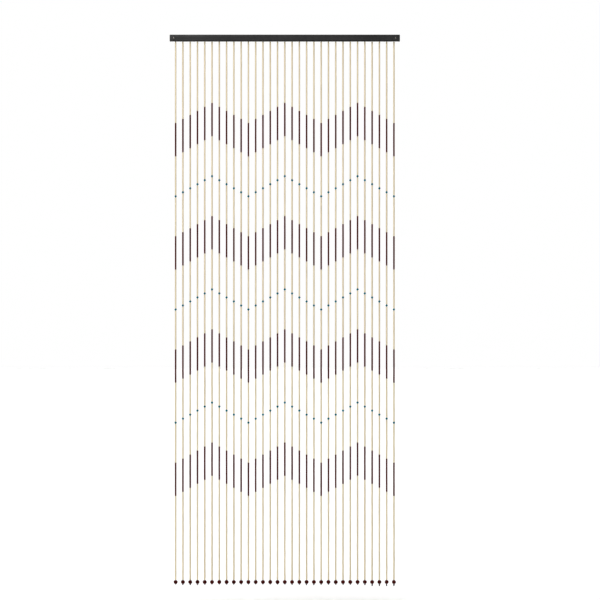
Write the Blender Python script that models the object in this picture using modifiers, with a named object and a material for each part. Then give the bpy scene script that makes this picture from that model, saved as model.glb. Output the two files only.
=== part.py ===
"""Bead door curtain on its rail: strung tubes and beads hanging from a painted batten.

Metres, +Z up. The origin is the middle of the rail's back face. The room side faces -Y.
"""

import math
from typing import NamedTuple

import bpy

# Rail, a square-cut batten
RAIL_LENGTH = 0.900
RAIL_HEIGHT = 0.0254
RAIL_DEPTH = 0.020
RAIL_EDGE = 0.0012
RAIL_EDGE_STEPS = 2
RAIL_UNDERSIDE = -RAIL_HEIGHT / 2

# Strip in the rail's groove, which holds the strands' roots
STRIP_LENGTH = 0.860
STRIP_DEPTH = 0.006
STRIP_HEIGHT = 0.003
STRIP_RECESS = 0.0005

# Gap between pieces that touch or slide on each other
CLEARANCE = 0.0003

# Strands, counted from 1 at the left
STRAND_COUNT = 31
STRAND_PITCH = 0.02848
STRAND_SIDES = 4
STRAND_Y = -RAIL_DEPTH / 2

# Zigzag, in strands from a valley to the next peak and in height for each strand
SLOPE_STRANDS = 5
SLOPE_STEP = 0.01573

# What is threaded on each cord, as widths
CORD_WIDTH = 0.0016
TUBE_WIDTH = 0.0056
SMALL_BEAD_WIDTH = 0.008
END_BEAD_WIDTH = 0.015
END_BEAD_BORE = 0.0032
KNOT_WIDTH = 0.0052
TAIL_WIDTH = 0.0026

# Heights below the rail's underside, on the strands at a peak of the zigzag
TUBE_START = 0.0015
FIRST_SMALL_BEAD = 0.5277
SMALL_BEAD_ROWS = 3
SMALL_BEAD_ROW_PITCH = 0.4431
END_BEAD_CENTRE = 2.1161

# Knots under the end beads
KNOT_HEIGHT = 0.0045
SHORTEST_TAIL = 0.0006
END_BEAD_GAP = 0.001
END_BEAD_SIDES = 10
END_BEAD_RINGS = 6

# Fixing screws
SCREW_FROM_END = 0.016
SCREW_HEAD_WIDTH = 0.008
SCREW_HEAD_HEIGHT = 0.0024
SCREW_SHANK_WIDTH = 0.004
SCREW_SIDES = 16
RECESS_LENGTH = 0.0044
RECESS_WIDTH = 0.0009
RECESS_DEPTH = 0.0013

# Cutters reach this far past what they cut
CUTTER_REACH = 0.001
MERGE_DISTANCE = 0.00001
SMOOTH_ANGLE = math.radians(40)


class KnotGroup(NamedTuple):
    """Strands first to last, whose knots and tails show by one length below the end bead."""

    first: int
    last: int
    length: float


class OutlineStep(NamedTuple):
    """A point of an outline, as shares of its half width and of its height from the top."""

    width: float
    down: float


KNOT_STEPS = (
    OutlineStep(width=0.7, down=0.0),
    OutlineStep(width=1.0, down=0.3),
    OutlineStep(width=1.0, down=0.65),
)
SCREW_HEAD_STEPS = (
    OutlineStep(width=0.0, down=0.0),
    OutlineStep(width=0.5, down=0.07),
    OutlineStep(width=0.85, down=0.38),
    OutlineStep(width=1.0, down=0.8),
    OutlineStep(width=1.0, down=1.0),
)
KNOT_GROUPS = (
    KnotGroup(first=1, last=1, length=0.0016),
    KnotGroup(first=2, last=4, length=0.0042),
    KnotGroup(first=5, last=5, length=0.0027),
    KnotGroup(first=6, last=7, length=0.0016),
    KnotGroup(first=8, last=9, length=0.0024),
    KnotGroup(first=10, last=16, length=0.0016),
    KnotGroup(first=17, last=18, length=0.0027),
    KnotGroup(first=19, last=20, length=0.0042),
    KnotGroup(first=21, last=26, length=0.0027),
    KnotGroup(first=27, last=27, length=0.0042),
    KnotGroup(first=28, last=31, length=0.0080),
)


def clear_scene():
    """Remove every object of the scene."""
    for scene_object in list(bpy.data.objects):
        bpy.data.objects.remove(scene_object, do_unlink=True)


def new_collection(name):
    """Make a collection and link it to the scene."""
    collection = bpy.data.collections.new(name)
    bpy.context.scene.collection.children.link(collection)
    return collection


def painted(name, colour, roughness, metallic=0.0):
    """Make a Principled material of one colour."""
    material = bpy.data.materials.new(name)
    material.use_nodes = True
    shader = material.node_tree.nodes["Principled BSDF"]
    shader.inputs["Base Color"].default_value = (*colour, 1.0)
    shader.inputs["Roughness"].default_value = roughness
    shader.inputs["Metallic"].default_value = metallic
    return material


def box(name, size, centre, collection):
    """Add a box from the cube primitive, with its size applied."""
    bpy.ops.mesh.primitive_cube_add(size=1.0, location=centre)
    cube = bpy.context.active_object
    cube.name = name
    cube.scale = size
    bpy.ops.object.transform_apply(location=False, rotation=False, scale=True)
    move_to(cube, collection)
    return cube


def turned(name, outline, sides, collection, closed=False):
    """Turn an outline of (radius, height) points about Z, with the outer side run top to bottom."""
    points = [(radius, 0.0, height) for radius, height in outline]
    edges = [(index, index + 1) for index in range(len(points) - 1)]
    if closed:
        edges.append((len(points) - 1, 0))
    mesh = bpy.data.meshes.new(name)
    mesh.from_pydata(points, edges, [])
    piece = bpy.data.objects.new(name, mesh)
    collection.objects.link(piece)
    screw = piece.modifiers.new("turn", "SCREW")
    screw.axis = "Z"
    screw.angle = math.tau
    screw.steps = sides
    screw.render_steps = sides
    screw.use_merge_vertices = True
    screw.merge_threshold = MERGE_DISTANCE
    screw.use_smooth_shade = False
    return piece


def move_to(piece, collection):
    """Keep a piece in one collection only."""
    for other in list(piece.users_collection):
        other.objects.unlink(piece)
    collection.objects.link(piece)


def as_cutter(piece):
    """Mark a piece as a tool that shapes others."""
    piece.hide_render = True
    piece.display_type = "WIRE"
    return piece


def boolean(piece, operation, operand):
    """Cut or join one object, or all the objects of a collection."""
    modifier = piece.modifiers.new(operand.name, "BOOLEAN")
    modifier.operation = operation
    modifier.solver = "EXACT"
    if isinstance(operand, bpy.types.Collection):
        modifier.operand_type = "COLLECTION"
        modifier.collection = operand
    else:
        modifier.object = operand
    return modifier


def settled_mesh(piece, name):
    """Evaluate a piece's modifiers into a mesh of its own, shaded smooth between its edges."""
    bpy.context.view_layer.update()
    graph = bpy.context.evaluated_depsgraph_get()
    mesh = bpy.data.meshes.new_from_object(piece.evaluated_get(graph))
    mesh.name = name
    mesh.shade_smooth()
    mesh.set_sharp_from_angle(angle=SMOOTH_ANGLE)
    return mesh


def finish(piece, material, parent):
    """Give a piece its material and hang it on its parent."""
    piece.data.materials.clear()
    piece.data.materials.append(material)
    piece.parent = parent
    return piece


def strand_x(number):
    """Give the place of a strand along the rail."""
    middle = (STRAND_COUNT + 1) / 2
    return (number - middle) * STRAND_PITCH


def zigzag_drop(number):
    """Give how far the pattern hangs on a strand below the zigzag's peaks."""
    step = (number - 1) % (2 * SLOPE_STRANDS)
    return SLOPE_STEP * abs(step - SLOPE_STRANDS)


def knot_length(number):
    """Give how far a strand's knot and tail show below its end bead."""
    for group in KNOT_GROUPS:
        if group.first <= number <= group.last:
            return group.length
    raise ValueError(f"strand {number} has no knot")


def end_bead_z():
    """Give the height of the end beads' centres."""
    return RAIL_UNDERSIDE - END_BEAD_CENTRE


def bore_mouth():
    """Give how far an end bead's bore opens above and below its centre."""
    return math.sqrt((END_BEAD_WIDTH / 2) ** 2 - (END_BEAD_BORE / 2) ** 2)


def small_bead_outline(centre):
    """Give half widths and heights from the tube above a small bead to the tube below."""
    radius = SMALL_BEAD_WIDTH / 2
    # An eight-sided outline round the bead's circle turns at this height
    flat = radius * math.tan(math.pi / 8)
    tube_end = radius + CLEARANCE
    return [
        (TUBE_WIDTH / 2, centre + tube_end),
        (CORD_WIDTH / 2, centre + tube_end),
        (flat, centre + radius),
        (radius, centre + flat),
        (radius, centre - flat),
        (flat, centre - radius),
        (CORD_WIDTH / 2, centre - tube_end),
        (TUBE_WIDTH / 2, centre - tube_end),
    ]


def knot_outline(number):
    """Give half widths and heights of the knot under the end bead and of its cut tail."""
    top = end_bead_z() - bore_mouth() - CLEARANCE
    length = knot_length(number)
    knot = min(KNOT_HEIGHT, length)
    half = KNOT_WIDTH / 2
    outline = [(CORD_WIDTH / 2, top)]
    outline += [(half * step.width, top - knot * step.down) for step in KNOT_STEPS]
    outline.append((TAIL_WIDTH / 2, top - knot))
    if length - knot > SHORTEST_TAIL:
        outline.append((TAIL_WIDTH / 2, top - length))
    return outline


def strand_outline(number):
    """Give half widths and heights of a whole strand, from inside the strip to the tail."""
    strip_underside = RAIL_UNDERSIDE + STRIP_RECESS
    tube_top = RAIL_UNDERSIDE - TUBE_START
    outline = [
        (CORD_WIDTH / 2, strip_underside + STRIP_HEIGHT / 2),
        (CORD_WIDTH / 2, tube_top),
        (TUBE_WIDTH / 2, tube_top),
    ]
    first_bead = RAIL_UNDERSIDE - FIRST_SMALL_BEAD - zigzag_drop(number)
    for row in range(SMALL_BEAD_ROWS):
        outline += small_bead_outline(first_bead - row * SMALL_BEAD_ROW_PITCH)
    tube_end = end_bead_z() + bore_mouth() + END_BEAD_GAP
    outline += [(TUBE_WIDTH / 2, tube_end), (CORD_WIDTH / 2, tube_end)]
    outline += knot_outline(number)
    return [(0.0, outline[0][1]), *outline, (0.0, outline[-1][1])]


def make_rail(parts, cutters, parent):
    """Make the batten with its edges broken, its groove and its two screw holes."""
    rail = box(
        "rail",
        (RAIL_LENGTH, RAIL_DEPTH, RAIL_HEIGHT),
        (0.0, -RAIL_DEPTH / 2, 0.0),
        parts,
    )
    edges = rail.modifiers.new("broken_edges", "BEVEL")
    edges.width = RAIL_EDGE
    edges.segments = RAIL_EDGE_STEPS

    groove_top = RAIL_UNDERSIDE + STRIP_RECESS + STRIP_HEIGHT + CLEARANCE
    groove_bottom = RAIL_UNDERSIDE - CUTTER_REACH
    groove = box(
        "groove_cutter",
        (
            STRIP_LENGTH + 2 * CLEARANCE,
            STRIP_DEPTH + 2 * CLEARANCE,
            groove_top - groove_bottom,
        ),
        (0.0, STRAND_Y, (groove_top + groove_bottom) / 2),
        cutters,
    )
    boolean(rail, "DIFFERENCE", as_cutter(groove))

    for side, name in ((-1, "left"), (1, "right")):
        bpy.ops.mesh.primitive_cylinder_add(
            vertices=SCREW_SIDES,
            radius=SCREW_SHANK_WIDTH / 2 + CLEARANCE,
            depth=RAIL_DEPTH + 2 * CUTTER_REACH,
            location=(side * (RAIL_LENGTH / 2 - SCREW_FROM_END), -RAIL_DEPTH / 2, 0.0),
            rotation=(math.pi / 2, 0.0, 0.0),
        )
        hole = bpy.context.active_object
        hole.name = f"{name}_hole_cutter"
        move_to(hole, cutters)
        boolean(rail, "DIFFERENCE", as_cutter(hole))

    charcoal = painted("charcoal_paint", (0.038, 0.037, 0.037), 0.5)
    return finish(rail, charcoal, parent)


def make_strands(parts, guides, parent):
    """Make all the strands in one, joined at the top by the strip in the rail's groove."""
    strip_underside = RAIL_UNDERSIDE + STRIP_RECESS
    strands = box(
        "strands",
        (STRIP_LENGTH, STRIP_DEPTH, STRIP_HEIGHT),
        (0.0, STRAND_Y, strip_underside + STRIP_HEIGHT / 2),
        parts,
    )
    # A square's corners stand out from its middle by this many half widths
    corner = math.sqrt(2)
    for number in range(1, STRAND_COUNT + 1):
        outline = [(half * corner, height) for half, height in strand_outline(number)]
        guide = turned(f"strand_guide_{number:02d}", outline, STRAND_SIDES, guides)
        guide.location = (strand_x(number), STRAND_Y, 0.0)
        guide.rotation_euler = (0.0, 0.0, math.pi / STRAND_SIDES)
        as_cutter(guide)
    boolean(strands, "UNION", guides)

    pale_wood = painted("pale_tubes", (0.665, 0.565, 0.335), 0.45)
    return finish(strands, pale_wood, parent)


def make_end_beads(parts, guides, parent):
    """Make the drilled round bead at the foot of each strand."""
    radius = END_BEAD_WIDTH / 2
    mouth_angle = math.asin(END_BEAD_BORE / 2 / radius)
    sweep = math.pi - 2 * mouth_angle
    outline = []
    for ring in range(END_BEAD_RINGS + 1):
        angle = mouth_angle + sweep * ring / END_BEAD_RINGS
        outline.append((radius * math.sin(angle), radius * math.cos(angle)))
    pattern = turned("end_bead_guide", outline, END_BEAD_SIDES, guides, closed=True)
    mesh = settled_mesh(pattern, "end_bead")
    bpy.data.objects.remove(pattern, do_unlink=True)

    lacquer = painted("red_brown_lacquer", (0.055, 0.010, 0.007), 0.3)
    beads = []
    for number in range(1, STRAND_COUNT + 1):
        bead = bpy.data.objects.new(f"end_bead_{number:02d}", mesh)
        bead.location = (strand_x(number), STRAND_Y, end_bead_z())
        parts.objects.link(bead)
        beads.append(finish(bead, lacquer, parent))
    return beads


def make_screws(parts, cutters, parent):
    """Make the two round-headed screws that hold the rail, up to the rail's back face."""
    half = SCREW_HEAD_WIDTH / 2
    shank = SCREW_SHANK_WIDTH / 2
    top = CLEARANCE + SCREW_HEAD_HEIGHT
    outline = [
        (half * step.width, top - SCREW_HEAD_HEIGHT * step.down) for step in SCREW_HEAD_STEPS
    ]
    outline += [(shank, CLEARANCE), (shank, -RAIL_DEPTH), (0.0, -RAIL_DEPTH)]
    pattern = turned("screw_guide", outline, SCREW_SIDES, cutters)

    recess_top = top + CUTTER_REACH
    recess_floor = top - RECESS_DEPTH
    recess_cutters = []
    for name, size in (
        ("recess_along_x", (RECESS_LENGTH, RECESS_WIDTH)),
        ("recess_along_y", (RECESS_WIDTH, RECESS_LENGTH)),
    ):
        cutter = box(
            name,
            (*size, recess_top - recess_floor),
            (0.0, 0.0, (recess_top + recess_floor) / 2),
            cutters,
        )
        recess_cutters.append(as_cutter(cutter))
        boolean(pattern, "DIFFERENCE", cutter)
    mesh = settled_mesh(pattern, "fixing_screw")
    for used in (pattern, *recess_cutters):
        bpy.data.objects.remove(used, do_unlink=True)

    steel = painted("screw_steel", (0.35, 0.33, 0.32), 0.35, metallic=1.0)
    screws = []
    for side, name in ((-1, "screw_left"), (1, "screw_right")):
        screw = bpy.data.objects.new(name, mesh)
        screw.location = (side * (RAIL_LENGTH / 2 - SCREW_FROM_END), -RAIL_DEPTH, 0.0)
        screw.rotation_euler = (math.pi / 2, 0.0, 0.0)
        parts.objects.link(screw)
        screws.append(finish(screw, steel, parent))
    return screws


def main():
    """Build the curtain and its rail."""
    clear_scene()
    parts = new_collection("bead_door_curtain")
    cutters = new_collection("cutters")
    guides = new_collection("strand_guides")

    curtain = bpy.data.objects.new("curtain", None)
    parts.objects.link(curtain)

    make_rail(parts, cutters, curtain)
    make_end_beads(parts, guides, curtain)
    make_strands(parts, guides, curtain)
    make_screws(parts, cutters, curtain)


main()
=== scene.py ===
"""Looks of the bead door curtain: varnished tubes, lacquered beads, knotted cord, painted rail.

Metres, +Z up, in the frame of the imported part. The room side faces -Y.
"""

import logging
import math
import random
from abc import ABC, abstractmethod
from collections.abc import Callable, Sequence
from dataclasses import dataclass, field
from enum import Enum
from types import TracebackType
from typing import NamedTuple

import bmesh
import bpy
import numpy as np
from mathutils import Matrix, Vector


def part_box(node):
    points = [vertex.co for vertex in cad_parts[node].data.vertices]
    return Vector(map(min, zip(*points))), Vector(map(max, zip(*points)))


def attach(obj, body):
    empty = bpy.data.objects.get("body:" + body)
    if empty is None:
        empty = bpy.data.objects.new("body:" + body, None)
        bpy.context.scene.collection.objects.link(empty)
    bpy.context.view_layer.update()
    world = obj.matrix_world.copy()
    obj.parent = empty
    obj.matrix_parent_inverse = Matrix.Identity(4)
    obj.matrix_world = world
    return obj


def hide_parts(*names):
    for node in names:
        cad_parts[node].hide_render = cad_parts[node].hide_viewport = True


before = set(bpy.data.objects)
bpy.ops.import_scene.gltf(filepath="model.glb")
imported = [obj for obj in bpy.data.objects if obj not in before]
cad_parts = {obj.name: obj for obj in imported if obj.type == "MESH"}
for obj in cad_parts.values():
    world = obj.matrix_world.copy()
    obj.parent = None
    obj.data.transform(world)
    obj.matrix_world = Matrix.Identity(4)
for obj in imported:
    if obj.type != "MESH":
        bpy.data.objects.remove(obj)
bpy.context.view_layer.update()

BODY = "root"
SMOOTH_ANGLE = math.radians(40)
MERGE_DISTANCE = 0.000002
# A face looks along an axis when its normal has this share there
FACING = 0.99
# How far the tone of the copies of one shape differs to either side
TONE_PLAY = 0.5

Triple = tuple[float, float, float]
Source = bpy.types.NodeSocket | float | tuple[float, ...]

log = logging.getLogger("door_curtain")


class Slot(Enum):
    """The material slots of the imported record."""

    RAIL_PAINT = "rail_paint"
    NATURAL_TUBE = "natural_tube"
    DARK_TUBE = "dark_tube"
    SMALL_BEAD = "small_bead"
    END_BEAD = "end_bead"
    CORD = "cord"
    SCREW_STEEL = "screw_steel"


class Mark(Enum):
    """Names of the values that a mesh carries at its points for its finish."""

    TONE = "piece_tone"
    FROM_END = "from_end"
    CUT = "cut_face"


# Modelling bench


class EditMode:
    """Edit mode on one piece, whose faces, edges and points are picked by their place."""

    def __init__(self, piece: bpy.types.Object) -> None:
        """Take the piece that is edited.

        Args:
            piece: A mesh object.
        """
        self.piece = piece

    def __enter__(self) -> "EditMode":
        """Enter edit mode with nothing else selected.

        Returns:
            This session.
        """
        select_only(self.piece)
        bpy.ops.object.mode_set(mode="EDIT")
        return self

    def __exit__(
        self,
        kind: type[BaseException] | None,
        error: BaseException | None,
        trace: TracebackType | None,
    ) -> None:
        """Return to object mode.

        Args:
            kind: The type of an error raised inside, if any; not used.
            error: That error; not used.
            trace: Where it was raised; not used.
        """
        bpy.ops.object.mode_set(mode="OBJECT")

    def pick_all(self) -> None:
        """Select the whole mesh."""
        bpy.ops.mesh.select_all(action="SELECT")

    def pick(self, kind: str, chosen: Callable[[bmesh.types.BMesh], list]) -> None:
        """Select some of the mesh's elements, and nothing else.

        Args:
            kind: FACE or EDGE.
            chosen: Takes the mesh and gives the elements to select.
        """
        bpy.ops.mesh.select_mode(type=kind)
        bpy.ops.mesh.select_all(action="DESELECT")
        cage = bmesh.from_edit_mesh(self.piece.data)
        for element in chosen(cage):
            element.select = True
        cage.select_flush_mode()
        bmesh.update_edit_mesh(self.piece.data)

    def pick_faces(self, test: Callable[[Vector, Vector], bool]) -> None:
        """Select the faces that pass a test.

        Args:
            test: Takes a face's centre and its normal.
        """
        self.pick(
            "FACE",
            lambda cage: [f for f in cage.faces if test(f.calc_center_median(), f.normal)],
        )

    def pick_edges(self, test: Callable[[Vector, Vector], bool]) -> None:
        """Select the edges that pass a test.

        Args:
            test: Takes the places of an edge's two ends.
        """
        self.pick(
            "EDGE",
            lambda cage: [e for e in cage.edges if test(e.verts[0].co, e.verts[1].co)],
        )


def select_only(piece: bpy.types.Object) -> None:
    """Make one object the only one selected, and the active one.

    Args:
        piece: The object.
    """
    bpy.ops.object.select_all(action="DESELECT")
    piece.select_set(True)
    bpy.context.view_layer.objects.active = piece


def newest(name: str) -> bpy.types.Object:
    """Name the primitive that was added last.

    Args:
        name: Its name.

    Returns:
        The object.
    """
    piece = bpy.context.active_object
    piece.name = name
    piece.data.name = name
    return piece


def settle(piece: bpy.types.Object) -> bpy.types.Object:
    """Put a piece's place, turn and scale into its mesh.

    Args:
        piece: A mesh object.

    Returns:
        The same object, at the origin.
    """
    select_only(piece)
    bpy.ops.object.transform_apply(location=True, rotation=True, scale=True)
    return piece


def block(name: str, size: Sequence[float], centre: Sequence[float]) -> bpy.types.Object:
    """Add a block.

    Args:
        name: Its name.
        size: Its length along each axis.
        centre: Where its centre goes.

    Returns:
        The object, at the origin.
    """
    bpy.ops.object.select_all(action="DESELECT")
    bpy.ops.mesh.primitive_cube_add(size=1.0, location=centre)
    piece = newest(name)
    piece.scale = size
    return settle(piece)


def cylinder(
    name: str,
    sides: int,
    radius: float,
    depth: float,
    centre: Sequence[float] = (0.0, 0.0, 0.0),
    turn: Sequence[float] = (0.0, 0.0, 0.0),
) -> bpy.types.Object:
    """Add a cylinder, which stands along Z unless it is turned.

    Args:
        name: Its name.
        sides: How many sides it has.
        radius: Its radius.
        depth: Its length.
        centre: Where its centre goes.
        turn: Its turn about each axis, in radians.

    Returns:
        The object, still placed and turned as one.
    """
    bpy.ops.object.select_all(action="DESELECT")
    bpy.ops.mesh.primitive_cylinder_add(
        vertices=sides, radius=radius, depth=depth, location=centre, rotation=turn
    )
    return newest(name)


def smooth(piece: bpy.types.Object) -> bpy.types.Object:
    """Shade a piece smooth, with its sharper edges left sharp.

    Args:
        piece: A mesh object.

    Returns:
        The same object.
    """
    select_only(piece)
    bpy.ops.object.shade_smooth_by_angle(angle=SMOOTH_ANGLE)
    return piece


def apply_modifiers(piece: bpy.types.Object) -> None:
    """Apply all of a piece's modifiers, in order.

    Args:
        piece: A mesh object.
    """
    select_only(piece)
    for modifier in list(piece.modifiers):
        bpy.ops.object.modifier_apply(modifier=modifier.name)


def cut_with(piece: bpy.types.Object, *cutters: bpy.types.Object) -> None:
    """Cut pieces out of another, and remove the cutters.

    Args:
        piece: The object that is cut.
        cutters: Closed mesh objects.
    """
    for cutter in cutters:
        modifier = piece.modifiers.new(cutter.name, "BOOLEAN")
        modifier.operation = "DIFFERENCE"
        modifier.solver = "EXACT"
        modifier.object = cutter
    apply_modifiers(piece)
    for cutter in cutters:
        bpy.data.objects.remove(cutter, do_unlink=True)


def face_outwards(piece: bpy.types.Object) -> None:
    """Merge a mesh's doubles and turn its faces outwards.

    Args:
        piece: A closed mesh object.
    """
    with EditMode(piece) as edit:
        edit.pick_all()
        bpy.ops.mesh.remove_doubles(threshold=MERGE_DISTANCE)
        bpy.ops.mesh.normals_make_consistent(inside=False)


def install(piece: bpy.types.Object, finish: "Finish", *nodes: str) -> None:
    """Dress a finished piece, and let it ride and stand for its CAD nodes.

    Args:
        piece: The finished mesh object, at the origin.
        finish: What it is made of.
        nodes: The CAD nodes that it stands for.
    """
    piece.data.materials.clear()
    piece.data.materials.append(finish.material())
    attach(piece, BODY)
    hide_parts(*nodes)
    log.info("%s: %d faces", piece.name, len(piece.data.polygons))


class Pattern:
    """A shape that is modelled once and then copied, as arrays."""

    def __init__(self, model: bpy.types.Object) -> None:
        """Read the modelled shape and remove its object.

        Args:
            model: The mesh object, modelled round the origin.
        """
        mesh = model.data
        self.points = np.empty(len(mesh.vertices) * 3)
        mesh.vertices.foreach_get("co", self.points)
        self.points = self.points.reshape(-1, 3)
        self.faces = [tuple(face.vertices) for face in mesh.polygons]
        bpy.data.objects.remove(model, do_unlink=True)


class JoinedPiece:
    """Many small shapes, collected as arrays and joined into one mesh."""

    def __init__(self, name: str) -> None:
        """Start an empty piece.

        Args:
            name: The piece's name.
        """
        self.name = name
        self.points: list[np.ndarray] = []
        self.faces: list[tuple[int, ...]] = []
        self.marks: dict[Mark, list[np.ndarray]] = {}
        self.count = 0

    def add(
        self,
        points: np.ndarray,
        faces: Sequence[tuple[int, ...]],
        **marks: np.ndarray | float,
    ) -> None:
        """Add one shape.

        Args:
            points: Its points, a row each, in the frame of the part.
            faces: Its faces, counted from its own first point.
            marks: A value at each point, or one for all, by the name of a Mark.
        """
        self.faces += [tuple(index + self.count for index in face) for face in faces]
        self.points.append(points)
        self.count += len(points)
        for name, value in marks.items():
            spread = np.broadcast_to(np.asarray(value, float), (len(points),))
            self.marks.setdefault(Mark[name.upper()], []).append(spread)

    def build(self) -> bpy.types.Object:
        """Make the joined mesh.

        Returns:
            The new object, shaded smooth.
        """
        mesh = bpy.data.meshes.new(self.name)
        mesh.from_pydata(np.concatenate(self.points).tolist(), [], self.faces)
        for mark, values in self.marks.items():
            attribute = mesh.attributes.new(mark.value, "FLOAT", "POINT")
            attribute.data.foreach_set("value", np.concatenate(values).astype(np.float32))
        mesh.validate()
        piece = bpy.data.objects.new(self.name, mesh)
        bpy.context.scene.collection.objects.link(piece)
        return smooth(piece)


# Shader bench


class NodeSheet:
    """A node tree that is filled from left to right."""

    COLUMN_WIDTH = 200

    def __init__(self, tree: bpy.types.NodeTree) -> None:
        """Take the tree to fill.

        Args:
            tree: A material's, a group's or a world's tree.
        """
        self.tree = tree
        self.column = 0

    def add(self, kind: str, **settings: object) -> bpy.types.Node:
        """Add a node to the right of the last one.

        Args:
            kind: Blender's name of the node type.
            settings: Properties to set on the node.

        Returns:
            The node.
        """
        node = self.tree.nodes.new(kind)
        node.location = (self.column * self.COLUMN_WIDTH, 0)
        self.column += 1
        for name, value in settings.items():
            setattr(node, name, value)
        return node

    def feed(self, socket: bpy.types.NodeSocket, source: Source) -> None:
        """Link a socket to another, or set its value.

        Args:
            socket: The input socket.
            source: An output socket, or the value.
        """
        if isinstance(source, bpy.types.NodeSocket):
            self.tree.links.new(source, socket)
        elif isinstance(source, tuple) and len(source) == 3 and socket.type == "RGBA":
            socket.default_value = (*source, 1.0)
        else:
            socket.default_value = source

    def place(self, group: bpy.types.NodeTree, **inputs: Source) -> bpy.types.Node:
        """Place a shared effect.

        Args:
            group: The effect's node group.
            inputs: Its inputs, by their names in lower case with underscores.

        Returns:
            The group node.
        """
        node = self.add("ShaderNodeGroup", node_tree=group)
        for name, source in inputs.items():
            self.feed(node.inputs[name.replace("_", " ").capitalize()], source)
        return node

    def math(self, operation: str, first: Source, second: Source) -> bpy.types.NodeSocket:
        """Work out a value from two others.

        Args:
            operation: Blender's name of the operation.
            first: The first value.
            second: The second value.

        Returns:
            The result's socket.
        """
        node = self.add("ShaderNodeMath", operation=operation)
        self.feed(node.inputs[0], first)
        self.feed(node.inputs[1], second)
        return node.outputs[0]

    def vector(self, operation: str, first: Source, second: Source) -> bpy.types.NodeSocket:
        """Work out a vector from two others.

        Args:
            operation: Blender's name of the operation.
            first: The first vector.
            second: The second vector.

        Returns:
            The result's socket.
        """
        node = self.add("ShaderNodeVectorMath", operation=operation)
        self.feed(node.inputs[0], first)
        self.feed(node.inputs[1], second)
        return node.outputs[0]

    def noise(
        self, vector: Source, scale: Source, detail: float = 2.0, roughness: float = 0.5
    ) -> bpy.types.NodeSocket:
        """Add a noise texture.

        Args:
            vector: Where it is read.
            scale: Its fineness.
            detail: How many finer layers it has.
            roughness: How strong those are.

        Returns:
            The socket of its value, about 0.5 on average.
        """
        node = self.add("ShaderNodeTexNoise")
        self.feed(node.inputs["Vector"], vector)
        self.feed(node.inputs["Scale"], scale)
        self.feed(node.inputs["Detail"], detail)
        self.feed(node.inputs["Roughness"], roughness)
        return node.outputs[0]

    def spread(
        self, value: Source, low: Source, high: Source, to: tuple[Source, Source] = (0.0, 1.0)
    ) -> bpy.types.NodeSocket:
        """Spread a range of values smoothly over another, and hold it at the ends.

        Args:
            value: The value.
            low: Where the range starts.
            high: Where the range ends.
            to: What these two become.

        Returns:
            The result's socket.
        """
        node = self.add("ShaderNodeMapRange", interpolation_type="SMOOTHSTEP")
        for index, source in enumerate((value, low, high, *to)):
            self.feed(node.inputs[index], source)
        return node.outputs[0]

    def mix(self, factor: Source, first: Source, second: Source) -> bpy.types.NodeSocket:
        """Mix two colours.

        Args:
            factor: 0 for the first colour, 1 for the second.
            first: The first colour.
            second: The second colour.

        Returns:
            The mixed colour's socket.
        """
        node = self.add("ShaderNodeMix", data_type="RGBA")
        self.feed(node.inputs["Factor"], factor)
        self.feed(node.inputs[6], first)
        self.feed(node.inputs[7], second)
        return node.outputs[2]

    def mark(self, mark: Mark) -> bpy.types.NodeSocket:
        """Read one of the values that the mesh carries.

        Args:
            mark: Which one.

        Returns:
            Its socket.
        """
        return self.add("ShaderNodeAttribute", attribute_name=mark.value).outputs["Fac"]

    def bump(self, height: Source, strength: float, distance: float) -> bpy.types.NodeSocket:
        """Turn a height into a normal.

        Args:
            height: The height.
            strength: How much of it shows.
            distance: The depth in metres of a height of 1.

        Returns:
            The normal's socket.
        """
        node = self.add("ShaderNodeBump")
        self.feed(node.inputs["Strength"], strength)
        self.feed(node.inputs["Distance"], distance)
        self.feed(node.inputs["Height"], height)
        return node.outputs[0]


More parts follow.
